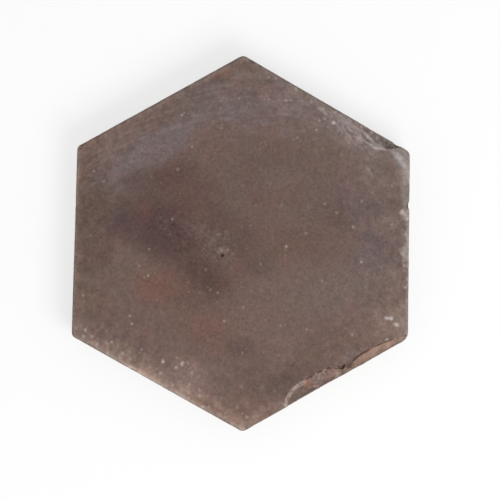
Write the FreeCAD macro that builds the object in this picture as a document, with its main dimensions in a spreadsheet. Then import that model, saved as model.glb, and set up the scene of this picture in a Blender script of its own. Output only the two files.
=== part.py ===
# Hexagonal floor tile of fired clay, pressed by hand in a wooden mould and reclaimed from a floor.
# It is one solid piece: six sides that are nearly, but not quite, equal, each leaning in towards the
# bed so that the walked-on faces can be laid close together. The corners are blunt, the arris round the
# face is worn, and shell-shaped pieces have broken off along the south-east, north-east and east sides.
# Frame: +Z up, the tile lies on its bed at z = 0, and the origin is the middle of its box on the bed.
# North is +Y and east is +X. All lengths are in millimetres and all angles in degrees.

import FreeCAD
import Part
import Sketcher
import math
import os

TILE = "hexagon_tile"

# The sides anticlockwise from the east one. Each side looks 60 degrees further round than the last.
SIDES = ["east", "north_east", "north_west", "west", "south_west", "south_east"]
SIDE_STEP = 60

# For each side: how far its arris stands from the middle of the face, how many degrees its direction
# strays from the regular hexagon's, and the radius of the corner at its anticlockwise end.
SLAB_SIZES = {
    "thickness": 18.0,
    "mould_draft": 4.0,
    "face_arris_radius": 1.2,
    "bed_arris_radius": 0.8,
    "east_reach": 81.0,
    "east_skew": -0.6,
    "east_corner": 3.8,
    "north_east_reach": 79.4,
    "north_east_skew": -0.2,
    "north_east_corner": 3.8,
    "north_west_reach": 79.8,
    "north_west_skew": -1.1,
    "north_west_corner": 2.2,
    "west_reach": 81.1,
    "west_skew": -1.7,
    "west_corner": 2.8,
    "south_west_reach": 79.3,
    "south_west_skew": 0.7,
    "south_west_corner": 3.4,
    "south_east_reach": 79.6,
    "south_east_skew": -0.6,
    "south_east_corner": 5.5,
}

# The side that each chip has broken from, in the order in which they are cut.
CHIPS = {
    "scallop": "south_east",
    "crumbled_ledge": "south_east",
    "bitten_edge": "south_east",
    "long_spall": "south_east",
    "shell_flake": "north_east",
    "corner_notch": "north_east",
    "east_nick": "east",
}

# For each chip: where its middle lies along the side, measured anticlockwise from the point of the arris
# nearest the middle of the tile, its length on the arris, how far it reaches in over the face, how far it
# reaches down the side, and how many degrees it is turned against the side. Its flatness is 0 for a bowl
# with an upright rim, and grows as the break turns into a flat slope.
CHIP_SIZES = {
    "scallop_along": -8.8,
    "scallop_length": 26.0,
    "scallop_width": 7.8,
    "scallop_depth": 3.6,
    "scallop_turn": 3.0,
    "scallop_flatness": 0.4,
    "crumbled_ledge_along": 2.0,
    "crumbled_ledge_length": 26.0,
    "crumbled_ledge_width": 7.7,
    "crumbled_ledge_depth": 3.8,
    "crumbled_ledge_turn": -6.0,
    "crumbled_ledge_flatness": 0.3,
    "bitten_edge_along": 17.0,
    "bitten_edge_length": 11.5,
    "bitten_edge_width": 4.0,
    "bitten_edge_depth": 2.8,
    "bitten_edge_turn": 0.0,
    "bitten_edge_flatness": 0.3,
    "long_spall_along": 39.0,
    "long_spall_length": 45.0,
    "long_spall_width": 4.2,
    "long_spall_depth": 2.4,
    "long_spall_turn": -10.0,
    "long_spall_flatness": 0.15,
    "shell_flake_along": -29.6,
    "shell_flake_length": 22.5,
    "shell_flake_width": 6.2,
    "shell_flake_depth": 2.2,
    "shell_flake_turn": -9.0,
    "shell_flake_flatness": 0.3,
    "corner_notch_along": -40.4,
    "corner_notch_length": 4.6,
    "corner_notch_width": 1.3,
    "corner_notch_depth": 6.0,
    "corner_notch_turn": 0.0,
    "corner_notch_flatness": 0.6,
    "east_nick_along": 19.5,
    "east_nick_length": 4.6,
    "east_nick_width": 1.8,
    "east_nick_depth": 7.0,
    "east_nick_turn": 0.0,
    "east_nick_flatness": 0.6,
}

SIZES = {**SLAB_SIZES, **CHIP_SIZES}


def make_sheet(doc):
    """The driving sizes, one row each: the name in column A and the plain number in column B."""
    sheet = doc.addObject("Spreadsheet::Sheet", "Sizes")
    for row, (name, value) in enumerate(SIZES.items(), start=1):
        sheet.set(f"A{row}", name)
        sheet.set(f"B{row}", str(value))
        sheet.setAlias(f"B{row}", name)
    doc.recompute()
    return sheet


def bearing(side):
    """The direction in which a side looks, anticlockwise from +X."""
    return SIDES.index(side) * SIDE_STEP + SIZES[f"{side}_skew"]


def bearing_expression(side):
    """The same direction, worked out from the sheet."""
    return f"({SIDES.index(side) * SIDE_STEP} + Sizes.{side}_skew)"


def next_side(side):
    """The side that follows anticlockwise."""
    return SIDES[(SIDES.index(side) + 1) % len(SIDES)]


def corner_point(side):
    """Where the straight arris of a side meets that of the next side, on the sketch's plane."""
    after = next_side(side)
    here = math.radians(bearing(side))
    there = math.radians(bearing(after))
    reach_here = SIZES[f"{side}_reach"]
    reach_there = SIZES[f"{after}_reach"]
    turn = math.sin(there - here)
    x = (reach_here * math.sin(there) - reach_there * math.sin(here)) / turn
    y = (reach_there * math.cos(here) - reach_here * math.cos(there)) / turn
    return FreeCAD.Vector(x, y, 0)


def draw_outline(body):
    """The outline of the face: six lines, each held by its distance from the middle and its direction."""
    ground = next(plane for plane in body.Origin.OriginFeatures if plane.Role == "XY_Plane")
    outline = body.newObject("Sketcher::SketchObject", "FaceOutline")
    outline.AttachmentSupport = [(ground, "")]
    outline.MapMode = "FlatFace"
    for side in SIDES:
        before = SIDES[SIDES.index(side) - 1]
        outline.addGeometry(Part.LineSegment(corner_point(before), corner_point(side)))
    for index, side in enumerate(SIDES):
        following = (index + 1) % len(SIDES)
        outline.addConstraint(Sketcher.Constraint("Coincident", index, 2, following, 1))
        outline.addConstraint(Sketcher.Constraint("Distance", -1, 1, index, SIZES[f"{side}_reach"]))
        outline.renameConstraint(outline.ConstraintCount - 1, f"{side}_reach")
        outline.setExpression(f"Constraints.{side}_reach", f"Sizes.{side}_reach")
        heading = math.radians(bearing(side) + 90)
        outline.addConstraint(Sketcher.Constraint("Angle", index, heading))
        outline.renameConstraint(outline.ConstraintCount - 1, f"{side}_heading")
        outline.setExpression(f"Constraints.{side}_heading", f"{bearing_expression(side)} + 90")
    return outline


def mid_height():
    """Half way up: what lies wholly above it belongs to the walked-on face, and what lies below to the bed."""
    return SIZES["thickness"] / 2


def press_slab(body, outline):
    """The slab as it leaves the mould: straight up from the outline, then its sides drafted."""
    slab = body.newObject("PartDesign::Pad", "PressedSlab")
    slab.Profile = outline
    slab.setExpression("Length", "Sizes.thickness")
    body.Document.recompute()
    faces = {f"Face{i}": face for i, face in enumerate(slab.Shape.Faces, start=1)}
    walked = next(name for name, face in faces.items() if face.BoundBox.ZMin > mid_height())
    sides = [name for name, face in faces.items() if face.BoundBox.ZMin < mid_height() < face.BoundBox.ZMax]
    drafted = body.newObject("PartDesign::Draft", "MouldDraft")
    drafted.Base = (slab, sides)
    drafted.NeutralPlane = (slab, [walked])
    drafted.Reversed = True
    drafted.setExpression("Angle", "Sizes.mould_draft")
    body.Document.recompute()
    return drafted


def edges_where(shape, wanted):
    """The edges for which wanted(their box) is true, by name."""
    named = {f"Edge{i}": edge for i, edge in enumerate(shape.Edges, start=1)}
    return {name: edge for name, edge in named.items() if wanted(edge.BoundBox)}


def round_edges(body, base, name, edges, size):
    """A fillet on the named edges of the last feature, its radius tied to a size in the sheet."""
    rounded = body.newObject("PartDesign::Fillet", name)
    rounded.Base = (base, edges)
    rounded.setExpression("Radius", f"Sizes.{size}")
    body.Document.recompute()
    return rounded


def round_corners(body, feature):
    """Each of the six upright corners is blunted by its own radius."""
    for side in SIDES:
        sharp = Part.Vertex(corner_point(side) + FreeCAD.Vector(0, 0, SIZES["thickness"]))
        upright = edges_where(feature.Shape, lambda box: box.ZMin < mid_height() < box.ZMax)
        nearest = min(upright, key=lambda name: upright[name].distToShape(sharp)[0])
        feature = round_edges(body, feature, f"Corner_{side}", [nearest], f"{side}_corner")
    return feature


def round_arrises(body, feature):
    """The worn arris round the walked-on face, and the softer one round the bed."""
    face_edges = list(edges_where(feature.Shape, lambda box: box.ZMin > mid_height()))
    feature = round_edges(body, feature, "WornFaceArris", face_edges, "face_arris_radius")
    bed_edges = list(edges_where(feature.Shape, lambda box: box.ZMax < mid_height()))
    return round_edges(body, feature, "BedArris", bed_edges, "bed_arris_radius")


def break_chip(body, chip, side):
    """A shell-shaped break: an ellipsoid that cuts the face at the chip's width and the side at its depth.

    Its centre lies out and up from the arris, by the chip's flatness times its width and its depth. The
    radii are those that then carry it through the chip's inner edge, its foot on the side and its ends.
    """
    ground = next(plane for plane in body.Origin.OriginFeatures if plane.Role == "XY_Plane")
    flat = f"Sizes.{chip}_flatness"
    spread = f"sqrt(1 + 2 * {flat} + 2 * {flat} * {flat})"
    look = bearing_expression(side)
    out = f"(Sizes.{side}_reach + {flat} * Sizes.{chip}_width)"
    along = f"Sizes.{chip}_along"
    broken = body.newObject("PartDesign::SubtractiveEllipsoid", f"Chip_{chip}")
    broken.AttachmentSupport = [(ground, "")]
    broken.MapMode = "FlatFace"
    broken.setExpression("Radius1", f"Sizes.{chip}_depth * {spread}")
    broken.setExpression("Radius2", f"Sizes.{chip}_width * {spread}")
    broken.setExpression("Radius3", f"Sizes.{chip}_length / 2 * {spread} / sqrt(1 + 2 * {flat})")
    broken.setExpression(".AttachmentOffset.Base.x", f"{out} * cos({look}) - {along} * sin({look})")
    broken.setExpression(".AttachmentOffset.Base.y", f"{out} * sin({look}) + {along} * cos({look})")
    broken.setExpression(".AttachmentOffset.Base.z", f"Sizes.thickness + {flat} * Sizes.{chip}_depth")
    broken.setExpression(".AttachmentOffset.Rotation.Angle", f"{look} + Sizes.{chip}_turn")
    return broken


def make_tile(doc):
    """The whole tile, with its box centred on the origin and its bed on z = 0."""
    body = doc.addObject("PartDesign::Body", "Tile")
    body.Label = TILE
    outline = draw_outline(body)
    feature = press_slab(body, outline)
    feature = round_corners(body, feature)
    round_arrises(body, feature)
    for chip, side in CHIPS.items():
        before = body.Shape.Volume
        break_chip(body, chip, side)
        doc.recompute()
        taken = before - body.Shape.Volume
        print(f"{chip}: {taken:.1f} cubic millimetres broken off")
        if taken <= 0:
            raise RuntimeError(f"{chip} takes nothing off the tile")
    box = body.Shape.optimalBoundingBox(True, False)
    body.Placement = FreeCAD.Placement(FreeCAD.Vector(-box.Center.x, -box.Center.y, 0), FreeCAD.Rotation())
    doc.recompute()
    return body


def check(doc, body):
    """Stops if any feature failed, or if the tile isn't one sound solid."""
    failed = [item.Name for item in doc.Objects if {"Invalid", "Error"} & set(item.State)]
    if failed:
        raise RuntimeError(f"these features failed: {failed}")
    shape = body.Shape
    if shape.isNull() or not shape.isValid() or len(shape.Solids) != 1:
        raise RuntimeError("the tile isn't one valid solid")


def main():
    doc = FreeCAD.newDocument("HexagonTile")
    make_sheet(doc)
    tile = make_tile(doc)
    check(doc, tile)
    os.makedirs("parts", exist_ok=True)
    tile.Shape.exportStep(f"parts/{tile.Label}.step")
    box = tile.Shape.optimalBoundingBox(True, False)
    print(f"box {box.XLength:.2f} x {box.YLength:.2f} x {box.ZLength:.2f} mm")
    print(f"volume {tile.Shape.Volume / 1000:.1f} cubic centimetres")


main()
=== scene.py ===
# The looks of a reclaimed hexagonal floor tile: dark unglazed clay with a trodden face, a worn arris, broken
# edges and lime grains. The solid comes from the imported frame, and this script adds its relief and finish.
# North is +Y, east is +X and up is +Z, and the tile lies on its bed. Lengths are in metres, written as
# millimetres times MM. The tables, and the places and sizes of patterns, are in plain millimetres.
import math

import bmesh
import bpy
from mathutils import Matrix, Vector, kdtree, noise
from mathutils.bvhtree import BVHTree
from mathutils.geometry import intersect_line_plane, intersect_plane_plane


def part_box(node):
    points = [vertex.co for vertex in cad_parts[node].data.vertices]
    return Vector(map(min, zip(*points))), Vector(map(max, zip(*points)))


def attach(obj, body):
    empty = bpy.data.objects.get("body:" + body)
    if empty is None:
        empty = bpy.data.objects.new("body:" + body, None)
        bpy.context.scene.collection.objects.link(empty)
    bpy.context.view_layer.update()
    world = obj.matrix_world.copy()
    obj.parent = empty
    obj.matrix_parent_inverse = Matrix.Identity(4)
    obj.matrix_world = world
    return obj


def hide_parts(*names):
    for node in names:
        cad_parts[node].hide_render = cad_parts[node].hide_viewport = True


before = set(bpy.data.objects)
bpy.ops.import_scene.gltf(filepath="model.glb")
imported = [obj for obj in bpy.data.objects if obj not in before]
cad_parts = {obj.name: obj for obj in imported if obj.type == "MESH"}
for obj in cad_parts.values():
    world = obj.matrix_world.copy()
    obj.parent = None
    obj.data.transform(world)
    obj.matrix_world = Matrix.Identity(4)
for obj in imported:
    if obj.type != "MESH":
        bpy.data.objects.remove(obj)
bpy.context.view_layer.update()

MM = 0.001
NODE = "hexagon_tile"
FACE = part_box(NODE)[1].z
SIDES = ["east", "north_east", "north_west", "west", "south_west", "south_east"]

# How closely a flat of the solid must face a side's way to belong to that side: the cosine between the two.
FACING = 0.97

# The blank's skin before it is divided further: cells along a side, and rows down it.
CELLS = 26
ROWS = 5

# How near the face or a side, and how near the bed, its own way in begins to count when a point is aimed.
LEAN = 9 * MM
BED_LEAN = 3 * MM

# How far outside the blank a ray starts on its way in to the solid.
CLEARANCE = 6 * MM

# How wide the wear along an arris of the face is.
ARRIS_BAND = 1.6 * MM

# How much must be missing from the blank for the cells to be made finest, for the clay to begin to look
# broken, and for it to look wholly broken.
CHIP_FROM = 0.55 * MM
BROKEN_FROM = 0.38 * MM
BROKEN_FULLY = 0.7 * MM

# How broken a place must be to count as inside a break, and how far down from the face its skin reaches.
INSIDE_BREAK = 0.5
FACE_SKIN = 0.6 * MM

# How many times the breaks are smoothed, and how far in from the sides that begins.
BREAK_SMOOTHINGS = 2
OUTLINE_KEPT = 0.5 * MM

# The crumbs bitten out of the face beside a crumbled break: their size, how far in they reach and how deep.
BITE_SIZE = 2.1 * MM
BITE_REACH = 2.4 * MM
BITE_DEPTH = 0.5 * MM

# How many times the mark of the creases is smoothed.
CREASE_SMOOTHINGS = 3

# Small holes in the face, where a grain of lime or grit has fallen out: east, north, radius and depth.
PITS = [
    (-9.0, -5.5, 1.1, 0.9),
    (-32.8, 9.6, 1.0, 0.6),
    (-27.6, 19.2, 0.7, 0.4),
    (-78.2, 46.2, 1.3, 0.6),
]

# How far out from a hole's middle the cells are made finer, in radii of the hole.
PIT_BORDER = 1.5

# Where the clay crumbled instead of flaking: east, north, radius.
CRUMBLED = [(39.5, -67.5, 11.0), (51.0, -60.0, 5.0), (73.0, 48.5, 4.0)]

# How crumbled a place of the face must be for its cells to be made finest.
CRUMBLING = 0.2

# How wide the parting between two lumps of clay is, in sizes of a lump.
PARTING = 0.25

# How much of a round zone's radius, and of a wall mark's width, has the full strength.
ZONE_MIDDLE = 0.6
WALL_MIDDLE = 0.4

# Where the wall under a break's inner edge is bruised pale, and where it is darkened with painted shade, as
# a crevice in shade: east, north, radius, and how wide the mark is.
BRUISED_WALLS = [
    (25.0, -74.0, 12.0, 2.8),
    (62.5, 51.0, 9.5, 1.7),
]
SHADED_WALLS = [
    (66.0, -53.0, 24.0, 0.8),
    (58.5, -54.8, 6.5, 1.5),
    (45.5, -61.8, 5.0, 0.7),
    (38.3, -61.8, 2.5, 1.2),
]


def measure_sides(node):
    """For each side a point on its plane and its outward direction, read from its largest flat."""
    planes = {}
    for index, side in enumerate(SIDES):
        turn = math.tau * index / len(SIDES)
        look = Vector((math.cos(turn), math.sin(turn), 0))
        facing = [flat for flat in node.data.polygons if flat.normal.dot(look) > FACING]
        largest = max(facing, key=lambda flat: flat.area)
        planes[side] = (largest.center.copy(), largest.normal.copy())
    return planes


def meeting(first, second, height):
    """The point where two side planes meet at this height."""
    point, direction = intersect_plane_plane(first[0], first[1], second[0], second[1])
    return intersect_line_plane(point, point + direction, Vector((0, 0, height)), Vector((0, 0, 1)))


def press_blank(planes):
    """The tile as a closed block with sharp arrises: three rhombs for its face, drawn down to the bed."""
    walls = [planes[side] for side in SIDES]
    pairs = list(zip(walls, walls[1:] + walls[:1]))
    blank = bmesh.new()
    middle = blank.verts.new((0, 0, FACE))
    rim = [blank.verts.new(meeting(one, other, FACE)) for one, other in pairs]
    for first in range(0, len(rim), 2):
        blank.faces.new((middle, rim[first], rim[first + 1], rim[(first + 2) % len(rim)]))
    drawn = bmesh.ops.extrude_face_region(blank, geom=blank.faces[:], use_keep_orig=True)
    below = [item for item in drawn["geom"] if isinstance(item, bmesh.types.BMVert)]
    feet = [meeting(one, other, 0) for one, other in pairs] + [Vector((0, 0, 0))]
    for vertex in below:
        vertex.co = min(feet, key=lambda foot: (foot.xy - vertex.co.xy).length)
    bmesh.ops.recalc_face_normals(blank, faces=blank.faces[:])
    return blank


def climb(edge):
    """How far an edge climbs from one end to the other."""
    return abs(edge.verts[0].co.z - edge.verts[1].co.z)


def halve(blank, wanted):
    """Halves the edges of each cell that has a corner at a wanted place."""
    cells = {cell for vertex in blank.verts if wanted(vertex.co) for cell in vertex.link_faces}
    edges = [edge for edge in blank.edges if any(cell in cells for cell in edge.link_faces)]
    bmesh.ops.subdivide_edges(blank, edges=edges, cuts=1, use_grid_fill=True)


def divide_blank(blank, skin, solid):
    """Cuts the blank's skin into cells, coarse on the bed and finest at the breaks and the small holes."""
    upright = [edge for edge in blank.edges if climb(edge) > FACE / 2]
    bmesh.ops.subdivide_edges(blank, edges=upright, cuts=ROWS - 1)
    level = [edge for edge in blank.edges if climb(edge) < FACE / ROWS / 2]
    bmesh.ops.subdivide_edges(blank, edges=level, cuts=CELLS - 1, use_grid_fill=True)
    halve(blank, lambda point: True)
    halve(blank, lambda point: point.z > 0)
    halve(blank, lambda point: from_arris(point, skin) < 2 * ARRIS_BAND or is_rough(point, skin, solid))
    halve(blank, in_pit)
    halve(blank, lambda point: is_rough(point, skin, solid) or in_pit(point))


def depths(point, skin):
    """How far a point lies inside the planes of the face, the bed and the six sides, in that order."""
    return [(through - point).dot(outward) for through, outward, lean in skin]


def down_and_in(point, skin):
    """How far a point lies down from the face, and how far in from the nearest side."""
    inside = depths(point, skin)
    return inside[0], min(inside[2:])


def from_arris(point, skin):
    """The distance from a point near the face to the nearest arris of the unworn face."""
    return math.hypot(*down_and_in(point, skin))


def aim(point, skin):
    """The way in from a point of the blank's skin: square to a flat, and slanting near an arris."""
    way = Vector()
    for through, outward, lean in skin:
        depth = (through - point).dot(outward)
        way -= outward * max(0, 1 - depth / lean)
    return way.normalized()


def land(point, skin, solid):
    """Where a point of the blank's skin comes down on the real solid."""
    way = aim(point, skin)
    hit = solid.ray_cast(point - way * CLEARANCE, way)[0]
    return hit or point.copy()


def is_broken(point, skin, solid):
    """Whether a piece is missing between the blank's skin and the real solid here."""
    return (land(point, skin, solid) - point).length > CHIP_FROM


def is_rough(point, skin, solid):
    """Whether this place is broken, or lies in the face where the clay beside a break crumbled."""
    crumbling = point.z > FACE - MM and within(point, CRUMBLED) > CRUMBLING
    return crumbling or is_broken(point, skin, solid)


def from_pit(point, east, north, radius):
    """The distance from a point to the mouth of a small hole, in radii of the hole."""
    return (point - Vector((east * MM, north * MM, FACE))).length / (radius * MM)


def in_pit(point):
    """Whether a point of the face lies in or beside one of the small holes."""
    return any(from_pit(point, *pit[:3]) < PIT_BORDER for pit in PITS)


def ease(value, low, high):
    """0 below low, 1 above high, and a smooth rise between them."""
    share = min(1, max(0, (value - low) / (high - low)))
    return share * share * (3 - 2 * share)


def within(point, zones):
    """1 in the middle of the nearest of these round zones, and 0 outside them all."""
    away = min(
        (point.xy - Vector((east, north)) * MM).length / (radius * MM)
        for east, north, radius in zones
    )
    return 1 - ease(away, ZONE_MIDDLE, 1)


def ripple(point, size):
    """Smooth unevenness from -1 to 1, in lumps of about this size."""
    return noise.noise(point / size)


def rugged(point, size):
    """Unevenness from about -1 to 1 that is rough at every scale, in lumps of up to this size."""
    fall = 0.7
    step = 2
    scales = 4
    return noise.fractal(point / size, fall, step, scales)


def crumbs(point, size):
    """Lumps of about this size: how low the one here lies and how near its edge is, both from 0 to 1."""
    distances, centres = noise.voronoi(point / size)
    low = (1 + noise.cell(centres[0])) / 2
    return low, 1 - ease(distances[1] - distances[0], 0, PARTING)


def pressed_relief(point):
    """The uneven surface that pressing and use leave: slow swells, a fine sandy drag and shallow dents."""
    swells = 0.06 * (1 + ripple(point, 26 * MM))
    drag = 0.02 * (1 + ripple(point, 3 * MM))
    dents = 0.25 * max(0, ripple(point, 2.8 * MM) - 0.3)
    return MM * (swells + drag + dents)


def side_relief(point):
    """The side's skin, dragged upright as the tile left its mould."""
    dragged = Vector((point.x, point.y, point.z / 4))
    furrows = 0.10 * max(0, ripple(dragged, 2.6 * MM))
    grains = 0.08 * max(0, ripple(point, 1.7 * MM))
    return MM * (furrows + grains)


def worn_relief(point):
    """Small losses along an arris."""
    hollows = 0.5 * max(0, ripple(point, 5 * MM))
    nicks = 0.25 * max(0, ripple(point, 1.6 * MM))
    return MM * (hollows + nicks)


def broken_relief(point, inset):
    """The surface of a break: gently shelled, lumpy where the clay crumbled, and even at the outline."""
    low, parting = crumbs(point, 2.2 * MM)
    shells = 0.12 * (1 + rugged(point, 4.5 * MM))
    grit = 0.05 * (1 + rugged(point, 0.9 * MM))
    crumble = within(point, CRUMBLED) * (0.5 * low + 0.35 * parting)
    return max(0, shells + grit + crumble) * MM * ease(inset, 0.2 * MM, 1.8 * MM)


def pit_relief(point):
    """The small holes in the face."""
    depth = 0
    for *place, deep in PITS:
        away = from_pit(point, *place)
        depth += deep * MM * max(0, 1 - away * away)
    return depth


def sink(point, wear, broken, skin):
    """How deep a place of the skin lies under the even surface of the solid."""
    inset = down_and_in(point, skin)[1]
    on_side = 1 - ease(inset, 0.2 * MM, 0.8 * MM)
    depth = pressed_relief(point) + on_side * side_relief(point) + pit_relief(point)
    if wear > 0:
        depth += wear * worn_relief(point)
    if broken > 0:
        depth += broken * broken_relief(point, inset)
    return depth


def plan_tree(vertices):
    """A tree of these vertices as seen from above, which finds the nearest of them."""
    tree = kdtree.KDTree(len(vertices))
    for index, vertex in enumerate(vertices):
        tree.insert((vertex.co.x, vertex.co.y, 0), index)
    tree.balance()
    return tree


def plan_distance(tree, point):
    """The distance from a point to the nearest vertex of such a tree, as seen from above."""
    return tree.find((point.x, point.y, 0))[2]


def is_whole_face(vertex, broken_mark):
    """Whether a vertex lies in the face's skin, outside the breaks."""
    return vertex[broken_mark] < INSIDE_BREAK and vertex.co.z > FACE - FACE_SKIN


def nibble(clay, broken_mark):
    """Bites crumbs out of the face along the inner edge of the crumbled breaks."""
    lost = plan_tree([vertex for vertex in clay.verts if vertex[broken_mark] > INSIDE_BREAK])
    for vertex in clay.verts:
        crumbled = within(vertex.co, CRUMBLED)
        if crumbled > 0 and is_whole_face(vertex, broken_mark):
            low = crumbs(vertex.co, BITE_SIZE)[0]
            bite = crumbled * ease(low - plan_distance(lost, vertex.co) / BITE_REACH, 0.2, 0.45)
            vertex.co.z -= bite * BITE_DEPTH
            vertex[broken_mark] = max(vertex[broken_mark], bite)


def wall_mark(point, distance, zones):
    """How strongly a place at this distance from a break's inner edge carries the mark of these zones."""
    return max(
        within(point, [place]) * (1 - ease(distance, WALL_MIDDLE * width * MM, width * MM))
        for *place, width in zones
    )


def mark_walls(clay, broken_mark, pale_mark, shade_mark):
    """In each break, marks the band under its inner edge: pale where it is bruised, painted shade elsewhere.
    """
    whole = plan_tree([vertex for vertex in clay.verts if is_whole_face(vertex, broken_mark)])
    for vertex in clay.verts:
        if vertex[broken_mark] > 0:
            distance = plan_distance(whole, vertex.co)
            vertex[pale_mark] = wall_mark(vertex.co, distance, BRUISED_WALLS)
            vertex[shade_mark] = wall_mark(vertex.co, distance, SHADED_WALLS)


def mean_around(vertex, mark):
    """The mean of a mark over a vertex's neighbours."""
    return sum(edge.other_vert(vertex)[mark] for edge in vertex.link_edges) / len(vertex.link_edges)


def mark_creases(clay, crease_mark):
    """Marks how hollow each place is, as half its bend per millimetre: a crease is above 0, a ridge below."""
    clay.normal_update()
    for vertex in clay.verts:
        spokes = [edge.other_vert(vertex).co - vertex.co for edge in vertex.link_edges]
        lifts = [spoke.dot(vertex.normal) / spoke.length_squared for spoke in spokes]
        vertex[crease_mark] = sum(lifts) / len(lifts) * MM
    for turn in range(CREASE_SMOOTHINGS):
        smoothed = {vertex: mean_around(vertex, crease_mark) for vertex in clay.verts}
        for vertex, value in smoothed.items():
            vertex[crease_mark] = (vertex[crease_mark] + value) / 2


def cast_solid(node):
    """The real solid, ready for rays, from a merged copy of the CAD mesh."""
    merged = bmesh.new()
    merged.from_mesh(node.data)
    bmesh.ops.remove_doubles(merged, verts=merged.verts[:], dist=0.001 * MM)
    solid = BVHTree.FromBMesh(merged)
    merged.free()
    return solid


def lay_on_solid(clay, skin, solid, wear_mark, broken_mark):
    """Brings the divided skin down on the real solid, and marks how worn and how broken each place is."""
    for vertex in clay.verts:
        start = vertex.co.copy()
        vertex.co = land(start, skin, solid)
        missing = min(depths(vertex.co, skin))
        vertex[broken_mark] = ease(missing, BROKEN_FROM, BROKEN_FULLY)
        vertex[wear_mark] = 1 - ease(from_arris(start, skin), 0, ARRIS_BAND)


def smooth_breaks(clay, skin, broken_mark):
    """Smooths the breaks, and leaves the tile's outline as it is."""
    inner = [
        vertex for vertex in clay.verts
        if vertex[broken_mark] > 0 and down_and_in(vertex.co, skin)[1] > OUTLINE_KEPT
    ]
    for turn in range(BREAK_SMOOTHINGS):
        bmesh.ops.smooth_vert(
            clay, verts=inner, factor=0.5, use_axis_x=True, use_axis_y=True, use_axis_z=True
        )


def sink_relief(clay, skin, wear_mark, broken_mark):
    """Sinks the fine relief into the clay."""
    clay.normal_update()
    sunk = {
        vertex: vertex.co - vertex.normal * sink(vertex.co, vertex[wear_mark], vertex[broken_mark], skin)
        for vertex in clay.verts
    }
    for vertex, place in sunk.items():
        vertex.co = place


def make_tile(node, planes):
    """The whole tile: the blank is divided, laid on the real solid, and its relief is sunk into it."""
    up = Vector((0, 0, 1))
    skin = [(Vector((0, 0, FACE)), up, LEAN), (Vector((0, 0, 0)), -up, BED_LEAN)]
    skin += [(point, outward, LEAN) for point, outward in planes.values()]
    solid = cast_solid(node)
    clay = press_blank(planes)
    divide_blank(clay, skin, solid)
    wear_mark, broken_mark, pale_mark, shade_mark, crease_mark = [
        clay.verts.layers.float.new(name) for name in ("wear", "broken", "pale_wall", "shaded_wall", "crease")
    ]
    lay_on_solid(clay, skin, solid, wear_mark, broken_mark)
    smooth_breaks(clay, skin, broken_mark)
    nibble(clay, broken_mark)
    mark_walls(clay, broken_mark, pale_mark, shade_mark)
    sink_relief(clay, skin, wear_mark, broken_mark)
    mark_creases(clay, crease_mark)
    for cell in clay.faces:
        cell.smooth = True
    print("tile: vertices", len(clay.verts), "triangles", sum(len(cell.verts) - 2 for cell in clay.faces))
    mesh = bpy.data.meshes.new("pressed_tile")
    clay.to_mesh(mesh)
    clay.free()
    piece = bpy.data.objects.new("pressed_tile", mesh)
    bpy.context.scene.collection.objects.link(piece)
    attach(piece, "root")
    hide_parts(NODE)
    return piece


def paint(tint):
    """A colour as a screen shows it, from 0 to 255, as the linear values that a node takes."""
    shown = [level / 255 for level in tint]
    return [level / 12.92 if level <= 0.04045 else ((level + 0.055) / 1.055) ** 2.4 for level in shown] + [1]


# How far out an oval's distance is measured, in half lengths and half widths.
OVAL_REACH = 1.4

# The sockets of a Mix node that take and give colours.
UNDER_COLOUR = 6
OVER_COLOUR = 7
MIXED_COLOUR = 2


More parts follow.
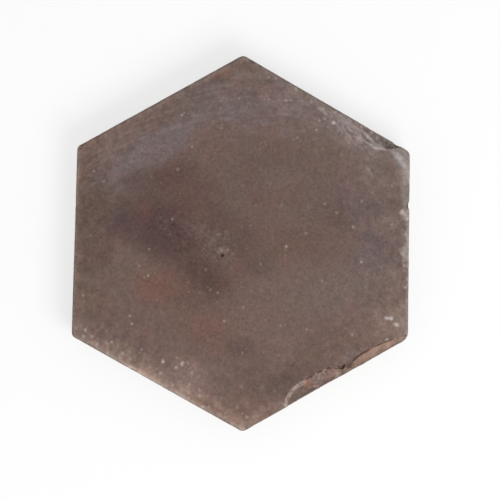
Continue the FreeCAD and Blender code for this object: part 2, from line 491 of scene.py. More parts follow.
class Finish:
    """The nodes of a material or of the world, and short ways to add them."""

    def __init__(self, owner):
        owner.use_nodes = True
        self.nodes = owner.node_tree.nodes
        self.links = owner.node_tree.links
        self.nodes.clear()

    def add(self, kind, inputs=None, **settings):
        """A node with its settings, and its inputs as numbers, colours or other nodes' outputs."""
        node = self.nodes.new(kind)
        for name, value in settings.items():
            setattr(node, name, value)
        for name, value in (inputs or {}).items():
            if isinstance(value, bpy.types.NodeSocket):
                self.links.new(value, node.inputs[name])
            else:
                node.inputs[name].default_value = value
        return node

    def mark(self, name):
        """A value that the mesh carries at each of its points."""
        return self.add("ShaderNodeAttribute", attribute_type="GEOMETRY", attribute_name=name).outputs["Fac"]

    def oval(self, where, east, north, half_length, half_width, turn):
        """Coordinates measured from an oval's middle, in which its half length and half width are 1."""
        inputs = {
            "Vector": where,
            "Location": (east * MM, north * MM, 0),
            "Rotation": (0, 0, math.radians(turn)),
            "Scale": (half_length * MM, half_width * MM, 1),
        }
        return self.add("ShaderNodeMapping", inputs, vector_type="TEXTURE").outputs["Vector"]

    def away(self, where, east, north, half_length, half_width, turn=0):
        """The distance from an upright oval column: 0 in its middle, 1 on its edge, OVAL_REACH at most."""
        oval = self.oval(where, east, north, OVAL_REACH * half_length, OVAL_REACH * half_width, turn)
        near = self.add("ShaderNodeTexGradient", {"Vector": oval}, gradient_type="SPHERICAL").outputs["Fac"]
        return self.spread(near, 0.0, 1.0, OVAL_REACH, 0.0, smooth=False)

    def noise(self, where, size, detail, roughness, seed):
        """A noise texture's outputs, with its largest lumps about this many millimetres across."""
        inputs = {"Vector": where, "W": seed, "Scale": 1 / (size * MM)}
        inputs.update({"Detail": detail, "Roughness": roughness})
        return self.add("ShaderNodeTexNoise", inputs, noise_dimensions="4D").outputs

    def grain(self, where, size, detail, roughness, seed):
        """Noise from 0 to 1."""
        return self.noise(where, size, detail, roughness, seed)["Fac"]

    def warp(self, where, size, reach, seed):
        """The coordinates pushed about by up to half this reach, in lumps of this size, in millimetres."""
        drift = self.noise(where, size, detail=2.0, roughness=0.5, seed=seed)["Color"]
        centred = self.vectors("SUBTRACT", drift, (0.5, 0.5, 0.5))
        return self.vectors("ADD", where, self.scale(centred, reach * MM))

    def spread(self, value, low, high, floor=0.0, ceiling=1.0, smooth=True):
        """A rise from floor to ceiling as the value goes from low to high."""
        inputs = {"Value": value, "From Min": low, "From Max": high, "To Min": floor, "To Max": ceiling}
        kind = "SMOOTHSTEP" if smooth else "LINEAR"
        return self.add("ShaderNodeMapRange", inputs, interpolation_type=kind).outputs["Result"]

    def maths(self, operation, first, second):
        """One sum on two values."""
        return self.add("ShaderNodeMath", {0: first, 1: second}, operation=operation).outputs["Value"]

    def vectors(self, operation, *values, output="Vector"):
        """One sum on vectors or colours, which gives a vector, or a number from the output called Value."""
        return self.add("ShaderNodeVectorMath", dict(enumerate(values)), operation=operation).outputs[output]

    def scale(self, vector, factor):
        """The vector made longer, or the colour made lighter, by a factor."""
        inputs = {"Vector": vector, "Scale": factor}
        return self.add("ShaderNodeVectorMath", inputs, operation="SCALE").outputs["Vector"]

    def mix(self, share, under, over):
        """The over colour laid on the under colour by a share."""
        inputs = {"Factor": share, UNDER_COLOUR: under, OVER_COLOUR: over}
        return self.add("ShaderNodeMix", inputs, data_type="RGBA").outputs[MIXED_COLOUR]


# Clouds of colour in the face, left by the kiln and by use: how far each one's middle lies east and north of
# the tile's, its half length and half width, its turn in degrees, and its colour as a screen shows it. A
# later cloud lies over the earlier ones.
CLOUDS = {
    "brown_field": (14.0, 31.0, 40, 23, 0, (105, 86, 80)),
    "dark_shoulder": (-34.0, 31.0, 20, 14, 0, (95, 73, 68)),
    "bloom_west": (-44.0, 43.5, 33, 10, 33, (118, 105, 105)),
    "bloom_north": (-2.5, 67.0, 29, 15, 0, (114, 101, 99)),
    "bloom_north_east": (50.5, 57.0, 26, 12, -30, (127, 111, 107)),
    "olive_south_west": (-73.0, -20.0, 13, 18, 0, (114, 94, 85)),
    "rose_north": (22.0, 30.0, 15, 9, 0, (113, 93, 87)),
    "olive_west": (-72.0, 10.0, 13, 34, 0, (101, 81, 73)),
    "dark_centre": (-28.0, 19.0, 22, 13, 12, (103, 77, 72)),
    "dark_west": (-38.0, 5.5, 29, 17, -36, (85, 64, 62)),
    "brown_middle": (1.0, 1.0, 17, 15, 0, (100, 79, 74)),
    "dark_middle": (-17.5, -17.0, 20, 14, -36, (91, 69, 64)),
    "violet_west": (-57.0, 10.0, 12, 11, 30, (86, 69, 68)),
    "rust_west": (-39.0, -21.5, 15, 13, 0, (117, 86, 76)),
    "rust_south": (-17.0, -41.0, 20, 12, -20, (116, 89, 80)),
    "rust_middle": (24.0, -1.0, 22, 14, 0, (109, 86, 78)),
    "violet_east": (55.5, 18.5, 19, 16, 0, (108, 90, 88)),
    "cool_east": (66.0, -2.0, 15, 19, 0, (111, 95, 93)),
    "grey_south_east": (51.0, -27.5, 24, 18, 0, (116, 99, 94)),
    "pink_south": (24.0, -52.0, 13, 11, 0, (121, 97, 90)),
    "pink_middle": (5.0, -35.0, 19, 13, 0, (115, 92, 85)),
    "dark_south": (17.0, -62.0, 27, 12, 25, (105, 87, 80)),
    "haze_south_west": (-25.0, -65.0, 15, 10, -30, (134, 111, 104)),
    "warm_south": (-3.0, -83.0, 19, 11, 0, (121, 96, 86)),
    "pale_south_east": (69.5, -38.0, 8, 10, 0, (133, 111, 102)),
    "pale_north_east": (79.5, 39.0, 8, 17, 0, (139, 130, 127)),
    "rust_on_the_north_arris": (-8.0, 83.5, 7, 3.5, 30, (128, 90, 78)),
    "rust_on_the_west_corner": (-71.0, 51.0, 7, 2.8, 30, (122, 90, 76)),
    "warm_north": (2.0, 82.0, 10, 7, 0, (125, 106, 101)),
    "dark_west_shoulder": (-50.5, 31.0, 10, 7, 30, (98, 79, 76)),
    "dark_under_the_band": (-26.0, -27.0, 9, 7, 0, (104, 80, 73)),
    "cool_middle": (7.5, -11.5, 9, 7, 0, (93, 80, 76)),
    "dark_south_middle": (1.0, -52.0, 8, 6, 0, (99, 79, 74)),
    "dark_east_middle": (45.0, 14.0, 9, 8, 0, (104, 84, 78)),
    "pale_east": (74.0, -18.0, 8, 10, 0, (125, 108, 100)),
    "pale_north_west": (-61.5, 51.0, 11, 6, 30, (125, 105, 98)),
    "bloom_north_middle": (20.0, 65.0, 15, 12, -45, (122, 104, 101)),
    "pale_under_the_flake": (66.0, 31.0, 15, 14, -30, (120, 103, 98)),
    "dark_above_the_pit": (-11.0, 12.5, 12, 9, -20, (99, 77, 71)),
    "pale_south": (18.5, -55.5, 10, 6.5, 0, (119, 97, 91)),
    "dark_over_the_scallop": (22.0, -67.0, 13, 5, 28, (96, 80, 75)),
    "pale_east_middle": (70.5, 9.0, 7, 6, 0, (125, 106, 99)),
    "pale_north_corner": (1.0, 90.2, 2.8, 1.8, 0, (148, 132, 126)),
}

# The margin along each side: how wide it is, its colour at the arris, and how strongly it covers the face.
MARGINS = [
    ("east", 3.6, (168, 156, 150), 0.8),
    ("north_east", 7.0, (138, 124, 118), 0.7),
    ("north_west", 4.5, (140, 119, 111), 0.85),
    ("west", 4.5, (122, 101, 91), 0.8),
    ("south_west", 9.0, (166, 138, 124), 0.9),
    ("south_east", 4.5, (130, 112, 103), 0.65),
]

# The line of each arris itself, given in the same way. The pale lines are worn clay with a painted
# highlight on the rounded arris, and the 0.8 mm south-west line and the south-east line are painted
# shade where the side falls away.
ARRIS_LINES = [
    ("south_west", 3.0, (202, 179, 167), 0.8),
    ("south_west", 0.8, (124, 110, 102), 0.8),
    ("north_east", 1.2, (142, 131, 127), 0.6),
    ("north_west", 1.1, (168, 153, 146), 0.75),
    ("south_east", 1.4, (122, 110, 103), 0.7),
    ("west", 1.7, (158, 139, 129), 0.85),
    ("east", 1.7, (158, 147, 141), 0.6),
]

# The colours of the broken clay, placed as the clouds are.
BREAKS = {
    "scallop": (29.5, -74.0, 12, 6, 30, (106, 91, 83)),
    "rust": (32.5, -66.5, 5, 2.4, 35, (138, 102, 91)),
    "crumble": (42.0, -66.0, 10, 6, 28, (134, 112, 104)),
    "bitten_edge": (52.0, -60.0, 7, 4.5, 28, (146, 120, 107)),
    "spall": (66.5, -52.5, 20, 5.5, 28, (161, 132, 117)),
    "flake": (66.0, 52.0, 12, 6, -30, (120, 109, 105)),
    "notch": (72.6, 48.9, 3.4, 1.0, -30, (146, 134, 127)),
}

# Touches laid over the arris lines, placed as the clouds are. The dark touches at the foot of the spall
# and in the pit are painted shade in those hollows.
TOUCHES = {
    "dust_by_the_spall": (51.2, -54.6, 6.5, 3.0, 38, (116, 102, 96)),
    "painted_shade_at_the_foot_of_the_spall": (52.6, -58.8, 3.4, 1.5, 20, (84, 69, 57)),
    "rosy_lump_of_the_spall": (58.6, -56.6, 2.6, 1.6, 28, (158, 124, 112)),
    "pale_east_arris": (79.6, 25.0, 2.6, 9, 0, (146, 134, 129)),
    "grey_lump_of_the_crumble": (36.8, -66.1, 3.6, 2.6, 30, (134, 118, 111)),
    "rust_fleck_of_the_crumble": (32.4, -67.6, 2.4, 1.2, 35, (146, 111, 98)),
    "pale_south_arris": (8.8, -82.6, 6.5, 3.2, 30, (136, 114, 104)),
    "pale_north_east_corner": (78.6, 43.8, 3.2, 3.6, 0, (154, 144, 140)),
    "warm_north_corner": (3.4, 85.4, 6, 4, -30, (110, 90, 82)),
    "dull_west_corner": (-77.2, -43.0, 5, 5.5, 0, (124, 106, 97)),
    "rosy_south_margin": (-15.5, -79.0, 11, 3.6, -29, (131, 104, 92)),
    "dull_south_west_margin": (-55.5, -51.0, 12, 2.8, -29, (125, 104, 94)),
    "pale_skin_round_the_pit": (-9.2, -3.2, 4.2, 2.4, -10, (113, 93, 85)),
    "painted_shade_in_the_pit": (-9.1, -5.5, 0.9, 0.8, 0, (58, 43, 38)),
    "pale_lip_of_the_bite": (46.8, -63.4, 2.2, 1.4, 30, (170, 150, 136)),
    "dull_west_end": (-70.5, -51.5, 14, 3.2, -30, (142, 123, 112)),
    "dull_south_end": (-11.0, -84.5, 13, 3.2, -29, (152, 132, 121)),
    "dull_east_end": (77.4, -37.5, 4, 11, 0, (141, 121, 111)),
    "pale_west_arris": (-80.0, 33.0, 1.8, 15, -2, (156, 139, 130)),
}

# The larger lime grains, and one painted highlight on a hole's rim: east, north, radius and strength.
LIME_GRAINS_AND_HIGHLIGHT = [
    (44.7, 58.3, 1.0, 0.75), (38.1, 59.7, 0.8, 0.4), (36.6, 54.9, 0.7, 0.4), (46.8, 54.4, 0.7, 0.28),
    (40.5, 60.2, 0.7, 0.25), (27.4, 51.0, 0.7, 0.25), (21.9, 69.1, 0.8, 0.35), (24.0, 69.1, 0.7, 0.32),
    (13.4, 69.9, 0.7, 0.22), (-0.7, 69.9, 0.7, 0.2), (-28.5, 62.0, 0.8, 0.42), (-27.4, 63.3, 0.7, 0.22),
    (-23.5, 46.8, 0.7, 0.35), (-71.1, 35.0, 0.8, 0.32), (67.7, 50.5, 0.7, 0.28), (73.0, 27.7, 0.7, 0.32),
    (78.2, 15.1, 1.6, 0.75), (79.4, 13.6, 1.0, 0.5), (80.3, 12.0, 1.0, 0.6), (73.0, 9.5, 0.8, 0.32),
    (40.8, 19.2, 0.7, 0.3), (46.3, 14.9, 0.7, 0.26), (54.4, 8.0, 1.0, 0.32), (58.3, -8.9, 0.8, 0.5),
    (39.1, -17.8, 0.7, 0.24), (21.9, -1.4, 0.8, 0.45), (9.5, -9.9, 0.7, 0.3), (-44.3, -2.6, 0.7, 0.28),
    (-44.8, -15.4, 0.8, 0.34), (-46.7, -16.2, 0.7, 0.2), (-49.2, -10.8, 0.7, 0.26), (-11.1, -23.9, 0.8, 0.36),
    (1.1, -30.9, 0.7, 0.26), (-8.1, -37.5, 0.8, 0.34), (-53.5, -34.8, 0.8, 0.38), (-52.5, -38.7, 0.8, 0.38),
    (-76.3, -25.1, 0.8, 0.26), (19.2, -39.5, 0.7, 0.24), (31.8, -41.4, 0.7, 0.26), (72.7, -36.1, 1.2, 0.75),
    (70.3, -36.0, 1.2, 0.3), (75.2, -39.2, 1.1, 0.6), (53.9, -43.9, 0.7, 0.32), (70.5, -46.4, 0.8, 0.45),
    (-37.7, -57.1, 1.0, 0.7), (-28.5, -58.3, 1.1, 0.6), (-23.5, -62.4, 0.8, 0.32), (-47.9, -51.3, 0.7, 0.28),
    (-53.3, -59.5, 0.9, 0.6), (-18.7, -78.8, 1.0, 0.6), (-76.0, -45.0, 1.0, 0.35), (-69.5, -48.7, 1.0, 0.4),
    (-64.9, -47.9, 0.8, 0.22), (47.3, -62.9, 0.9, 0.6), (21.9, -78.3, 1.1, 0.7), (9.0, -86.6, 0.9, 0.35),
    (-10.9, 4.4, 0.9, 0.13), (-7.1, 5.8, 1.0, 0.12), (-13.0, 1.6, 0.8, 0.12), (-10.9, -4.2, 0.8, 0.2),
    # The grain at -33.0 east and 11.8 north is a painted highlight on the rim of the hole beside it.
    (-6.3, -3.1, 0.9, 0.22), (-33.0, 11.8, 0.8, 0.3), (-9.6, -3.4, 0.9, 0.24), (-4.0, -5.0, 0.9, 0.14),
    (-17.0, -12.6, 1.0, 0.12), (19.7, 18.4, 0.8, 0.2),
]

# How far in from these sides the face is speckled with crumbs of lime, in millimetres.
SPECKLED = {"north_east": 7.0, "east": 5.0, "south_west": 13.0}

# Single strokes where the face was scraped pale: east, north, half length, half width, turn and strength.
SCUFFS = [
    (53.6, 54.4, 3.2, 0.8, -32, 0.6), (53.6, 57.0, 4.6, 1.0, -39, 0.4), (67.0, 45.9, 3.8, 0.9, -6, 0.55),
    (63.4, 47.6, 4.0, 0.8, -25, 0.5), (75.8, 42.0, 4.6, 1.8, -45, 0.75), (77.9, 38.4, 3.6, 1.4, -45, 0.6),
    (62.1, 35.0, 4.0, 1.0, -58, 0.25), (39.9, 63.9, 3.0, 1.2, -39, 0.45), (57.5, 50.5, 4.5, 1.0, -50, 0.12),
    (62.0, 51.3, 5.4, 0.8, -47, 0.75), (67.4, 46.4, 4.2, 0.9, -24, 0.7), (71.4, -36.2, 2.4, 0.9, -8, 0.8),
    (75.2, -39.3, 1.9, 1.0, -10, 0.75),
]

# Grains strewn over the clay: how far apart their cells lie, how large a grain is, the share of the cells
# that hold one, how strong the faintest and the strongest are, and their colour.
STREWN = {
    "lime": (5.2, 1.2, 0.3, 0.0, 0.36, (172, 154, 146)),
    "fine_lime": (2.3, 0.75, 0.3, 0.0, 0.28, (160, 142, 134)),
    "speckles": (2.6, 1.3, 0.5, 0.15, 0.6, (180, 166, 159)),
    "grit": (2.7, 0.75, 0.25, 0.0, 0.3, (66, 48, 42)),
}

# The colours laid on the clay outside the tables.
GROUND = paint((115, 94, 87))
RAW_GROUND = paint((121, 101, 92))
PALE_STREAK = paint((148, 138, 140))
DARK_STREAK = paint((84, 68, 62))
WARM_CLAY = paint((128, 84, 72))
OLIVE_CLAY = paint((96, 87, 70))
LIME_AND_HIGHLIGHT = paint((206, 191, 183))
SCUFF_HAZE = paint((160, 147, 145))
SCUFF = paint((188, 178, 175))
DARK_SAND = paint((104, 82, 73))
PALE_SAND = paint((128, 104, 93))
BED_SAND = paint((124, 101, 91))
MORTAR = paint((172, 163, 152))
PALE_LUMP = paint((178, 145, 136))
BRUISE = paint((166, 149, 142))
# The painted shade of the crevices under the inner edges of some breaks.
WALL_SHADE = paint((76, 60, 52))
# The painted shade of the creases, and the paler colour of the ridges.
CREASE_SHADE = paint((78, 61, 53))
PALE_RIDGE = paint((165, 143, 132))

# The share of a cloud's size where it has its full strength, and where it has faded out.
CLOUD_MIDDLE = 0.15
CLOUD_EDGE = 1.3

# The share of a margin's width that has its full strength.
MARGIN_MIDDLE = 0.2

# The wiped haze in the north. Its streaks run round a middle far to the south. It comes up between two
# distances from that middle and goes out between two places in the east.
WIPE_MIDDLE = (13 * MM, -98 * MM, 0)
WIPE_FROM = 143 * MM
WIPE_FULLY = 158 * MM
WIPE_ENDS_FROM = 15 * MM
WIPE_ENDS = 45 * MM

# How wide and how long a streak is, and the distance from their middle at which it is so long.
STREAK_WIDTH = 2.1 * MM
STREAK_LENGTH = 15 * MM
STREAK_RADIUS = 155 * MM

# How far apart the clay's red, green and blue may stray.
HUE_DRIFT = 0.1

# How much a step down counts against a step aside in a lime grain, so that it is deeper than it is wide.
GRAIN_DEPTH = 0.4

# Where the face's skin gives way to the sand of the sides, and where the sides give way to the bed.
SAND_FROM = FACE - 0.8 * MM
SAND_FULLY = FACE - 2.6 * MM
BED_FROM = 1.4 * MM
BED_FULLY = 0.3 * MM


def lay_clouds(clay, where, colour, clouds):
    """Lays clouds of colour, each at full strength in its middle and fading out at its edge."""
    for *place, tint in clouds.values():
        away = clay.away(where, *place)
        colour = clay.mix(clay.spread(away, CLOUD_EDGE, CLOUD_MIDDLE), colour, paint(tint))
    return colour


def inset_from(clay, where, plane):
    """The distance in from a side, in metres."""
    through, outward = plane
    reach = clay.vectors("DOT_PRODUCT", where, outward, output="Value")
    return clay.maths("SUBTRACT", through.dot(outward), reach)


def lay_margins(clay, where, planes, patchy, margins, colour):
    """Lays bands of colour along the sides, each strongest at the arris and broken up by the patchy share."""
    for side, width, tint, strength in margins:
        inset = inset_from(clay, where, planes[side])
        share = clay.spread(inset, width * MM, MARGIN_MIDDLE * width * MM, 0.0, strength)
        colour = clay.mix(clay.maths("MULTIPLY", share, patchy), colour, paint(tint))
    return colour


def lay_streaks(clay, where, colour):
    """Long pale and dark streaks in the northern haze, wiped round a middle that lies far to the south."""
    arm = clay.vectors("SUBTRACT", where, WIPE_MIDDLE)
    level = clay.vectors("MULTIPLY", arm, (1, 1, 0))
    radius = clay.vectors("LENGTH", level, output="Value")
    parts = clay.add("ShaderNodeSeparateXYZ", {"Vector": arm}).outputs
    turned = clay.maths("ARCTAN2", parts["Y"], parts["X"])
    across = clay.maths("DIVIDE", radius, STREAK_WIDTH)
    along = clay.maths("MULTIPLY", turned, STREAK_RADIUS / STREAK_LENGTH)
    swept = clay.add("ShaderNodeCombineXYZ", {"X": across, "Y": along}).outputs["Vector"]
    inputs = {"Vector": swept, "Scale": 1.0, "Detail": 3.0, "Roughness": 0.55}
    streaks = clay.add("ShaderNodeTexNoise", inputs).outputs["Fac"]
    area = clay.spread(radius, WIPE_FROM, WIPE_FULLY)
    area = clay.maths("MULTIPLY", area, clay.spread(parts["X"], WIPE_ENDS, WIPE_ENDS_FROM))
    pale = clay.maths("MULTIPLY", area, clay.spread(streaks, 0.46, 0.72, 0.0, 0.28))
    colour = clay.mix(pale, colour, PALE_STREAK)
    dark = clay.maths("MULTIPLY", area, clay.spread(streaks, 0.48, 0.28, 0.0, 0.18))
    return clay.mix(dark, colour, DARK_STREAK)


def mottle(clay, where, pocked, colour):
    """Breaks the colour up in hue and lightness, least in the trodden middle and most where it is pocked."""
    for size, detail, seed, tint in ((15, 3.0, 5.0, WARM_CLAY), (10, 2.0, 7.0, OLIVE_CLAY)):
        patches = clay.grain(where, size, detail, roughness=0.5, seed=seed)
        colour = clay.mix(clay.spread(patches, 0.42, 0.75, 0.0, 0.22), colour, tint)
    hues = clay.noise(where, 5, detail=3.0, roughness=0.6, seed=21.0)["Color"]
    tint = clay.vectors("MULTIPLY_ADD", hues, [HUE_DRIFT] * 3, [1 - HUE_DRIFT / 2] * 3)
    sand = clay.maths("SUBTRACT", clay.grain(where, 1.3, detail=1.0, roughness=0.9, seed=1.0), 0.5)
    sand = clay.maths("MULTIPLY", sand, clay.spread(pocked, 0, 1, 0.88, 1.4))
    tint = clay.scale(tint, clay.maths("ADD", sand, 1.0))
    rim = clay.spread(clay.away(where, -2, 0, 80, 84), 0.5, 1.0, 0.25, 0.95)
    lumps = clay.maths("SUBTRACT", clay.grain(where, 4.2, detail=1.0, roughness=0.8, seed=31.0), 0.5)
    lumps = clay.maths("MULTIPLY", lumps, clay.maths("MAXIMUM", rim, clay.maths("MULTIPLY", pocked, 0.9)))
    tint = clay.scale(tint, clay.spread(lumps, -0.5, 0.5, 0.55, 1.45, smooth=False))
    return clay.vectors("MULTIPLY", colour, tint)


def near_sides(clay, where, planes, reaches):
    """1 within half of each side's own reach, and 0 beyond that reach."""
    near = [
        clay.spread(inset_from(clay, where, planes[side]), reach * MM, 0.5 * reach * MM)
        for side, reach in reaches.items()
    ]
    nearest = near[0]
    for other in near[1:]:
        nearest = clay.maths("MAXIMUM", nearest, other)
    return nearest


def strew(clay, where, grains, colour, area=None):
    """Strews grains of one kind over the clay, or over an area of it."""
    spacing, radius, share, faintest, strongest, tint = grains
    cells = clay.add("ShaderNodeTexVoronoi", {"Vector": where, "Scale": 1 / (spacing * MM)}).outputs
    chance = clay.add("ShaderNodeSeparateColor", {"Color": cells["Color"]}).outputs
    inside = clay.spread(cells["Distance"], radius / spacing, 0.3 * radius / spacing)
    strength = clay.maths("MULTIPLY", inside, clay.maths("LESS_THAN", chance["Red"], share))
    strength = clay.maths("MULTIPLY", strength, clay.spread(chance["Green"], 0, 1, faintest, strongest))
    if area is not None:
        strength = clay.maths("MULTIPLY", strength, area)
    return clay.mix(strength, colour, paint(tint))


def limy_area(clay, where, height, planes):
    """Where the face is speckled with lime: along some sides, and in a patch in the south-west."""
    patch = clay.spread(clay.away(where, -31, -61, 15, 7, -28), 1.2, 0.5)
    area = clay.maths("MAXIMUM", patch, near_sides(clay, where, planes, SPECKLED))
    return clay.maths("MULTIPLY", area, clay.spread(height, FACE - 4 * MM, FACE - 1.5 * MM))


def lay_grains(clay, where, height, planes, colour):
    """Pale lime grains strewn and placed, one a painted highlight on a hole's rim, and a few dark grains of
    grit.
    """
    colour = strew(clay, where, STREWN["lime"], colour)
    colour = strew(clay, where, STREWN["fine_lime"], colour)
    colour = strew(clay, where, STREWN["speckles"], colour, limy_area(clay, where, height, planes))
    colour = strew(clay, clay.warp(where, 50, 40, seed=2.0), STREWN["grit"], colour)
    flattened = clay.vectors("MULTIPLY", where, (1, 1, GRAIN_DEPTH))
    for east, north, radius, strength in LIME_GRAINS_AND_HIGHLIGHT:
        middle = (east * MM, north * MM, GRAIN_DEPTH * FACE)
        away = clay.vectors("DISTANCE", flattened, middle, output="Value")
        share = clay.spread(away, 1.3 * radius * MM, 0.1 * radius * MM, 0.0, strength)
        colour = clay.mix(share, colour, LIME_AND_HIGHLIGHT)
    return colour


def lay_scuffs(clay, where, colour):
    """Pale scuffs beside the flake near the north-east corner, drawn out along its edge."""
    area = clay.spread(clay.away(where, 55.0, 54.0, 20, 6.5, -42), 1.2, 0.3)
    drawn = clay.oval(where, 0, 0, 5, 1.4, -50)
    streaks = clay.add("ShaderNodeTexNoise", {"Vector": drawn, "Scale": 1.0, "Detail": 3.0}).outputs["Fac"]
    share = clay.maths("MULTIPLY", area, clay.spread(streaks, 0.44, 0.56, 0.0, 0.75))
    return clay.mix(share, colour, SCUFF_HAZE)


def lay_strokes(clay, where, colour):
    """The single pale strokes, on whole and broken clay alike."""
    for *place, strength in SCUFFS:
        stroke = clay.spread(clay.away(where, *place), 1.25, 0.2, 0.0, strength)
        colour = clay.mix(stroke, colour, SCUFF)
    return colour


def lumps_of_crumble(clay, where):
    """The share of a paler colour that each broken lump of clay takes."""
    lumps = clay.add("ShaderNodeTexVoronoi", {"Vector": where, "Scale": 1 / (2.0 * MM)}).outputs
    chance = clay.add("ShaderNodeSeparateColor", {"Color": lumps["Color"]}).outputs["Red"]
    inner = clay.spread(lumps["Distance"], 0.75, 0.25)
    share = clay.maths("MULTIPLY", inner, clay.spread(chance, 0.25, 1.0, 0.0, 0.75))
    area = clay.spread(clay.away(where, 43.0, -65.0, 14, 7, 28), 1.2, 0.7)
    return clay.maths("MULTIPLY", share, area)


def sandy_sides(clay, where, height, face):
    """The face's colour carried over the arris to sandy sides and bed, with lime mortar smeared on them."""
    dragged = clay.add("ShaderNodeMapping", {"Vector": where, "Scale": (1, 1, 0.2)}).outputs["Vector"]
    drag = clay.spread(clay.grain(dragged, 2.4, detail=3.0, roughness=0.7, seed=23.0), 0.3, 0.7)
    side = clay.mix(drag, DARK_SAND, PALE_SAND)
    skin = clay.mix(clay.spread(height, SAND_FROM, SAND_FULLY), face, side)
    skin = clay.mix(clay.spread(height, BED_FROM, BED_FULLY), skin, BED_SAND)
    low = clay.maths("MULTIPLY", clay.spread(height, FACE * 0.7, 0.0), 0.16)
    smeared = clay.maths("ADD", clay.grain(where, 16, detail=5.0, roughness=0.65, seed=27.0), low)
    mortar = clay.spread(smeared, 0.6, 0.72, 0.0, 0.6)
    mortar = clay.maths("MULTIPLY", mortar, clay.spread(height, FACE * 0.8, FACE * 0.5))
    return clay.mix(mortar, skin, MORTAR)


def trodden_face(clay, wavy, ragged, planes, patchy):
    """The colour of the whole face: clouds, the wiped haze, the margins along the sides and the scuffs."""
    colour = lay_clouds(clay, ragged, GROUND, CLOUDS)
    colour = lay_streaks(clay, wavy, colour)
    colour = lay_margins(clay, ragged, planes, patchy, MARGINS, colour)
    return lay_scuffs(clay, wavy, colour)


def raw_clay(clay, where, ragged):
    """The colour of the broken clay: pale in its lumps and bruises, and dark with painted shade under some
    edges.
    """
    colour = lay_clouds(clay, ragged, RAW_GROUND, BREAKS)
    colour = clay.mix(lumps_of_crumble(clay, where), colour, PALE_LUMP)
    flecks = clay.grain(where, 2.0, detail=2.0, roughness=0.7, seed=4.0)
    flecked = clay.spread(flecks, 0.3, 0.6, 0.25, 1.0)
    bruise = clay.maths("MULTIPLY", clay.mark("pale_wall"), flecked)
    colour = clay.mix(clay.spread(bruise, 0.0, 0.9, 0.0, 0.85), colour, BRUISE)
    uneven = clay.spread(clay.grain(where, 3.4, detail=2.0, roughness=0.6, seed=6.0), 0.25, 0.5)
    # Painted shade: the wall under a break's inner edge is darkened as a shaded crevice.
    painted_shade = clay.maths("MULTIPLY", clay.mark("shaded_wall"), uneven)
    return clay.mix(clay.spread(painted_shade, 0.0, 0.8, 0.0, 0.9), colour, WALL_SHADE)


def lay_wear_and_painted_light(clay, wavy, planes, patchy, facing, colour):
    """Worn arris lines with painted highlight and shade, touches over them and strokes, where the clay faces
    up.
    """
    lines = clay.spread(patchy, 0.35, 1.0, 0.6, 1.0)
    worn_and_painted_light = lay_margins(clay, wavy, planes, lines, ARRIS_LINES, colour)
    worn_and_painted_light = lay_clouds(clay, wavy, worn_and_painted_light, TOUCHES)
    worn_and_painted_light = lay_strokes(clay, wavy, worn_and_painted_light)
    return clay.mix(clay.spread(facing, 0.08, 0.35), colour, worn_and_painted_light)


def shade_creases(clay, crease, broken, colour):
    """Painted shade in the creases, less of it in the breaks, and a paler colour on the ridges."""
    # Painted shade: the more hollow a place, the darker it is made.
    painted_shade = clay.maths("MULTIPLY", clay.spread(crease, 0.08, 0.5), clay.spread(broken, 0, 1, 0.4, 0.24))
    colour = clay.mix(painted_shade, colour, CREASE_SHADE)
    return clay.mix(clay.spread(crease, -0.12, -0.6, 0.0, 0.2), colour, PALE_RIDGE)


def clay_finish(planes):
    """Dark unglazed clay: clouded and trodden on the face, sandy on the sides, and raw where it is broken."""
    material = bpy.data.materials.new("fired_clay")
    clay = Finish(material)
    coordinates = clay.add("ShaderNodeTexCoord").outputs
    where = coordinates["Object"]
    height = clay.add("ShaderNodeSeparateXYZ", {"Vector": where}).outputs["Z"]
    facing = clay.add("ShaderNodeSeparateXYZ", {"Vector": coordinates["Normal"]}).outputs["Z"]
    wavy = clay.warp(where, 2.2, 1.3, seed=15.0)
    ragged = clay.warp(clay.warp(where, 12, 9, seed=9.0), 3.5, 4, seed=11.0)
    broken = clay.mark("broken")
    crease = clay.mark("crease")

    patches = clay.grain(where, 7, detail=3.0, roughness=0.6, seed=3.0)
    patchy = clay.spread(patches, 0.3, 0.62, 0.35, 1.0)
    face = trodden_face(clay, wavy, ragged, planes, patchy)
    whole = sandy_sides(clay, where, height, face)
    colour = clay.mix(broken, whole, raw_clay(clay, where, ragged))
    colour = lay_wear_and_painted_light(clay, wavy, planes, patchy, facing, colour)
    pocked = clay.spread(clay.away(where, -21, 3, 23, 13, -30), 1.2, 0.4)
    colour = mottle(clay, where, pocked, colour)
    colour = lay_grains(clay, wavy, height, planes, colour)
    colour = shade_creases(clay, crease, broken, colour)

    sand = clay.grain(where, 1.1, detail=3.0, roughness=0.7, seed=13.0)
    rough_skin = clay.maths("MAXIMUM", broken, clay.spread(height, SAND_FROM, SAND_FULLY))
    coarse = clay.maths("MAXIMUM", rough_skin, clay.maths("MULTIPLY", pocked, 0.8))
    relief = clay.maths("MULTIPLY", sand, clay.spread(coarse, 0, 1, 0.05, 0.12))
    tread = clay.grain(where, 24, detail=3.0, roughness=0.6, seed=17.0)
    roughness = clay.maths("MAXIMUM", rough_skin, clay.spread(tread, 0.3, 0.7, 0.7, 0.88))
    bump = clay.add("ShaderNodeBump", {"Height": relief, "Distance": MM, "Strength": 1.0})
    inputs = {
        "Base Color": colour,
        "Roughness": roughness,
        "Specular IOR Level": 0.3,
        "Normal": bump.outputs["Normal"],
    }
    shader = clay.add("ShaderNodeBsdfPrincipled", inputs)
    clay.add("ShaderNodeOutputMaterial", {"Surface": shader.outputs["BSDF"]})
    return material


def seen_behind(finish):
    """1 for rays that show what lies behind the tile: straight, in a gloss or through glass. Else 0."""
    rays = finish.add("ShaderNodeLightPath").outputs
    mirrored = finish.maths("MAXIMUM", rays["Is Glossy Ray"], rays["Is Transmission Ray"])
    return finish.maths("MAXIMUM", rays["Is Camera Ray"], mirrored)


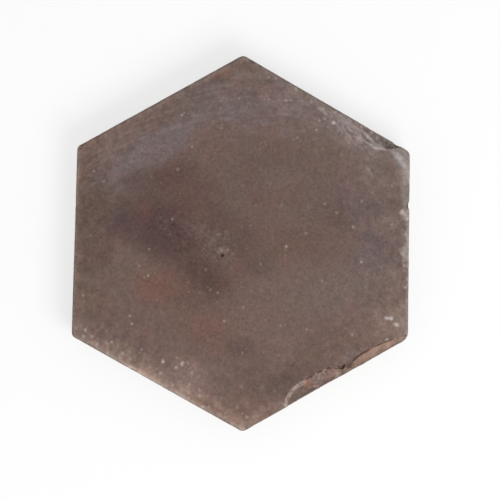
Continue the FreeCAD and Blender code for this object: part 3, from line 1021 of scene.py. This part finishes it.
# The floor: how far it reaches from the middle in metres, its own grey, and how much it glows where seen.
FLOOR_REACH = 6
FLOOR_GREY = (0.3, 0.3, 0.3, 1)
FLOOR_GLOW = 0.72
WHITE = (1, 1, 1, 1)


def white_floor():
    """A plain floor that shows white in the open and keeps the tile's shadow."""
    material = bpy.data.materials.new("white_floor")
    floor = Finish(material)
    strength = floor.maths("MULTIPLY", seen_behind(floor), FLOOR_GLOW)
    paper = floor.add("ShaderNodeBsdfDiffuse", {"Color": FLOOR_GREY})
    glow = floor.add("ShaderNodeEmission", {"Color": WHITE, "Strength": strength})
    both = floor.add("ShaderNodeAddShader", {0: paper.outputs["BSDF"], 1: glow.outputs["Emission"]})
    floor.add("ShaderNodeOutputMaterial", {"Surface": both.outputs["Shader"]})
    return material


def make_floor():
    """A wide plain floor on the plane of the bed."""
    ground = bmesh.new()
    bmesh.ops.create_grid(ground, x_segments=1, y_segments=1, size=FLOOR_REACH)
    mesh = bpy.data.meshes.new("floor")
    ground.to_mesh(mesh)
    ground.free()
    floor = bpy.data.objects.new("floor", mesh)
    bpy.context.scene.collection.objects.link(floor)
    mesh.materials.append(white_floor())


# The camera looks straight down from so far that the sides hardly show. PICTURE_WIDTH fills the picture at
# the height of the tile's outline, and the picture's middle is AXIS_EAST and AXIS_NORTH of the tile's. The
# lens and the sensor are in millimetres.
PICTURE_WIDTH = 241.75 * MM
OUTLINE_HEIGHT = FACE - 1.2 * MM
LENS = 300
SENSOR = 36
AXIS_EAST = 4.44 * MM
AXIS_NORTH = -3.12 * MM


def make_camera():
    """A long lens straight above the tile."""
    camera = bpy.data.cameras.new("camera")
    camera.lens = LENS
    camera.sensor_width = SENSOR
    holder = bpy.data.objects.new("camera", camera)
    holder.location = (AXIS_EAST, AXIS_NORTH, OUTLINE_HEIGHT + PICTURE_WIDTH * LENS / SENSOR)
    bpy.context.scene.collection.objects.link(holder)
    bpy.context.scene.camera = holder


# The strength of the light from all round, and the lamp's place, width and power, in metres and watts.
ROUND_LIGHT = 0.6
LAMP_PLACE = (0.58, -0.69, 1.07)
LAMP_WIDTH = 0.8
LAMP_POWER = 12.0


def make_light():
    """Even light from all round, and a broad lamp high in the south-east."""
    world = bpy.data.worlds.new("studio")
    bpy.context.scene.world = world
    studio = Finish(world)
    strength = studio.spread(seen_behind(studio), 0.0, 1.0, ROUND_LIGHT, 1.0, smooth=False)
    sky = studio.add("ShaderNodeBackground", {"Strength": strength})
    studio.add("ShaderNodeOutputWorld", {"Surface": sky.outputs["Background"]})
    lamp = bpy.data.lights.new("south_east_lamp", "AREA")
    lamp.shape = "SQUARE"
    lamp.size = LAMP_WIDTH
    lamp.energy = LAMP_POWER
    holder = bpy.data.objects.new("south_east_lamp", lamp)
    holder.location = LAMP_PLACE
    holder.rotation_euler = (-holder.location).to_track_quat("-Z", "Y").to_euler()
    bpy.context.scene.collection.objects.link(holder)


bpy.context.scene.view_settings.view_transform = "Standard"
make_camera()
make_light()
make_floor()
side_planes = measure_sides(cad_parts[NODE])
tile = make_tile(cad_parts[NODE], side_planes)
tile.data.materials.append(clay_finish(side_planes))
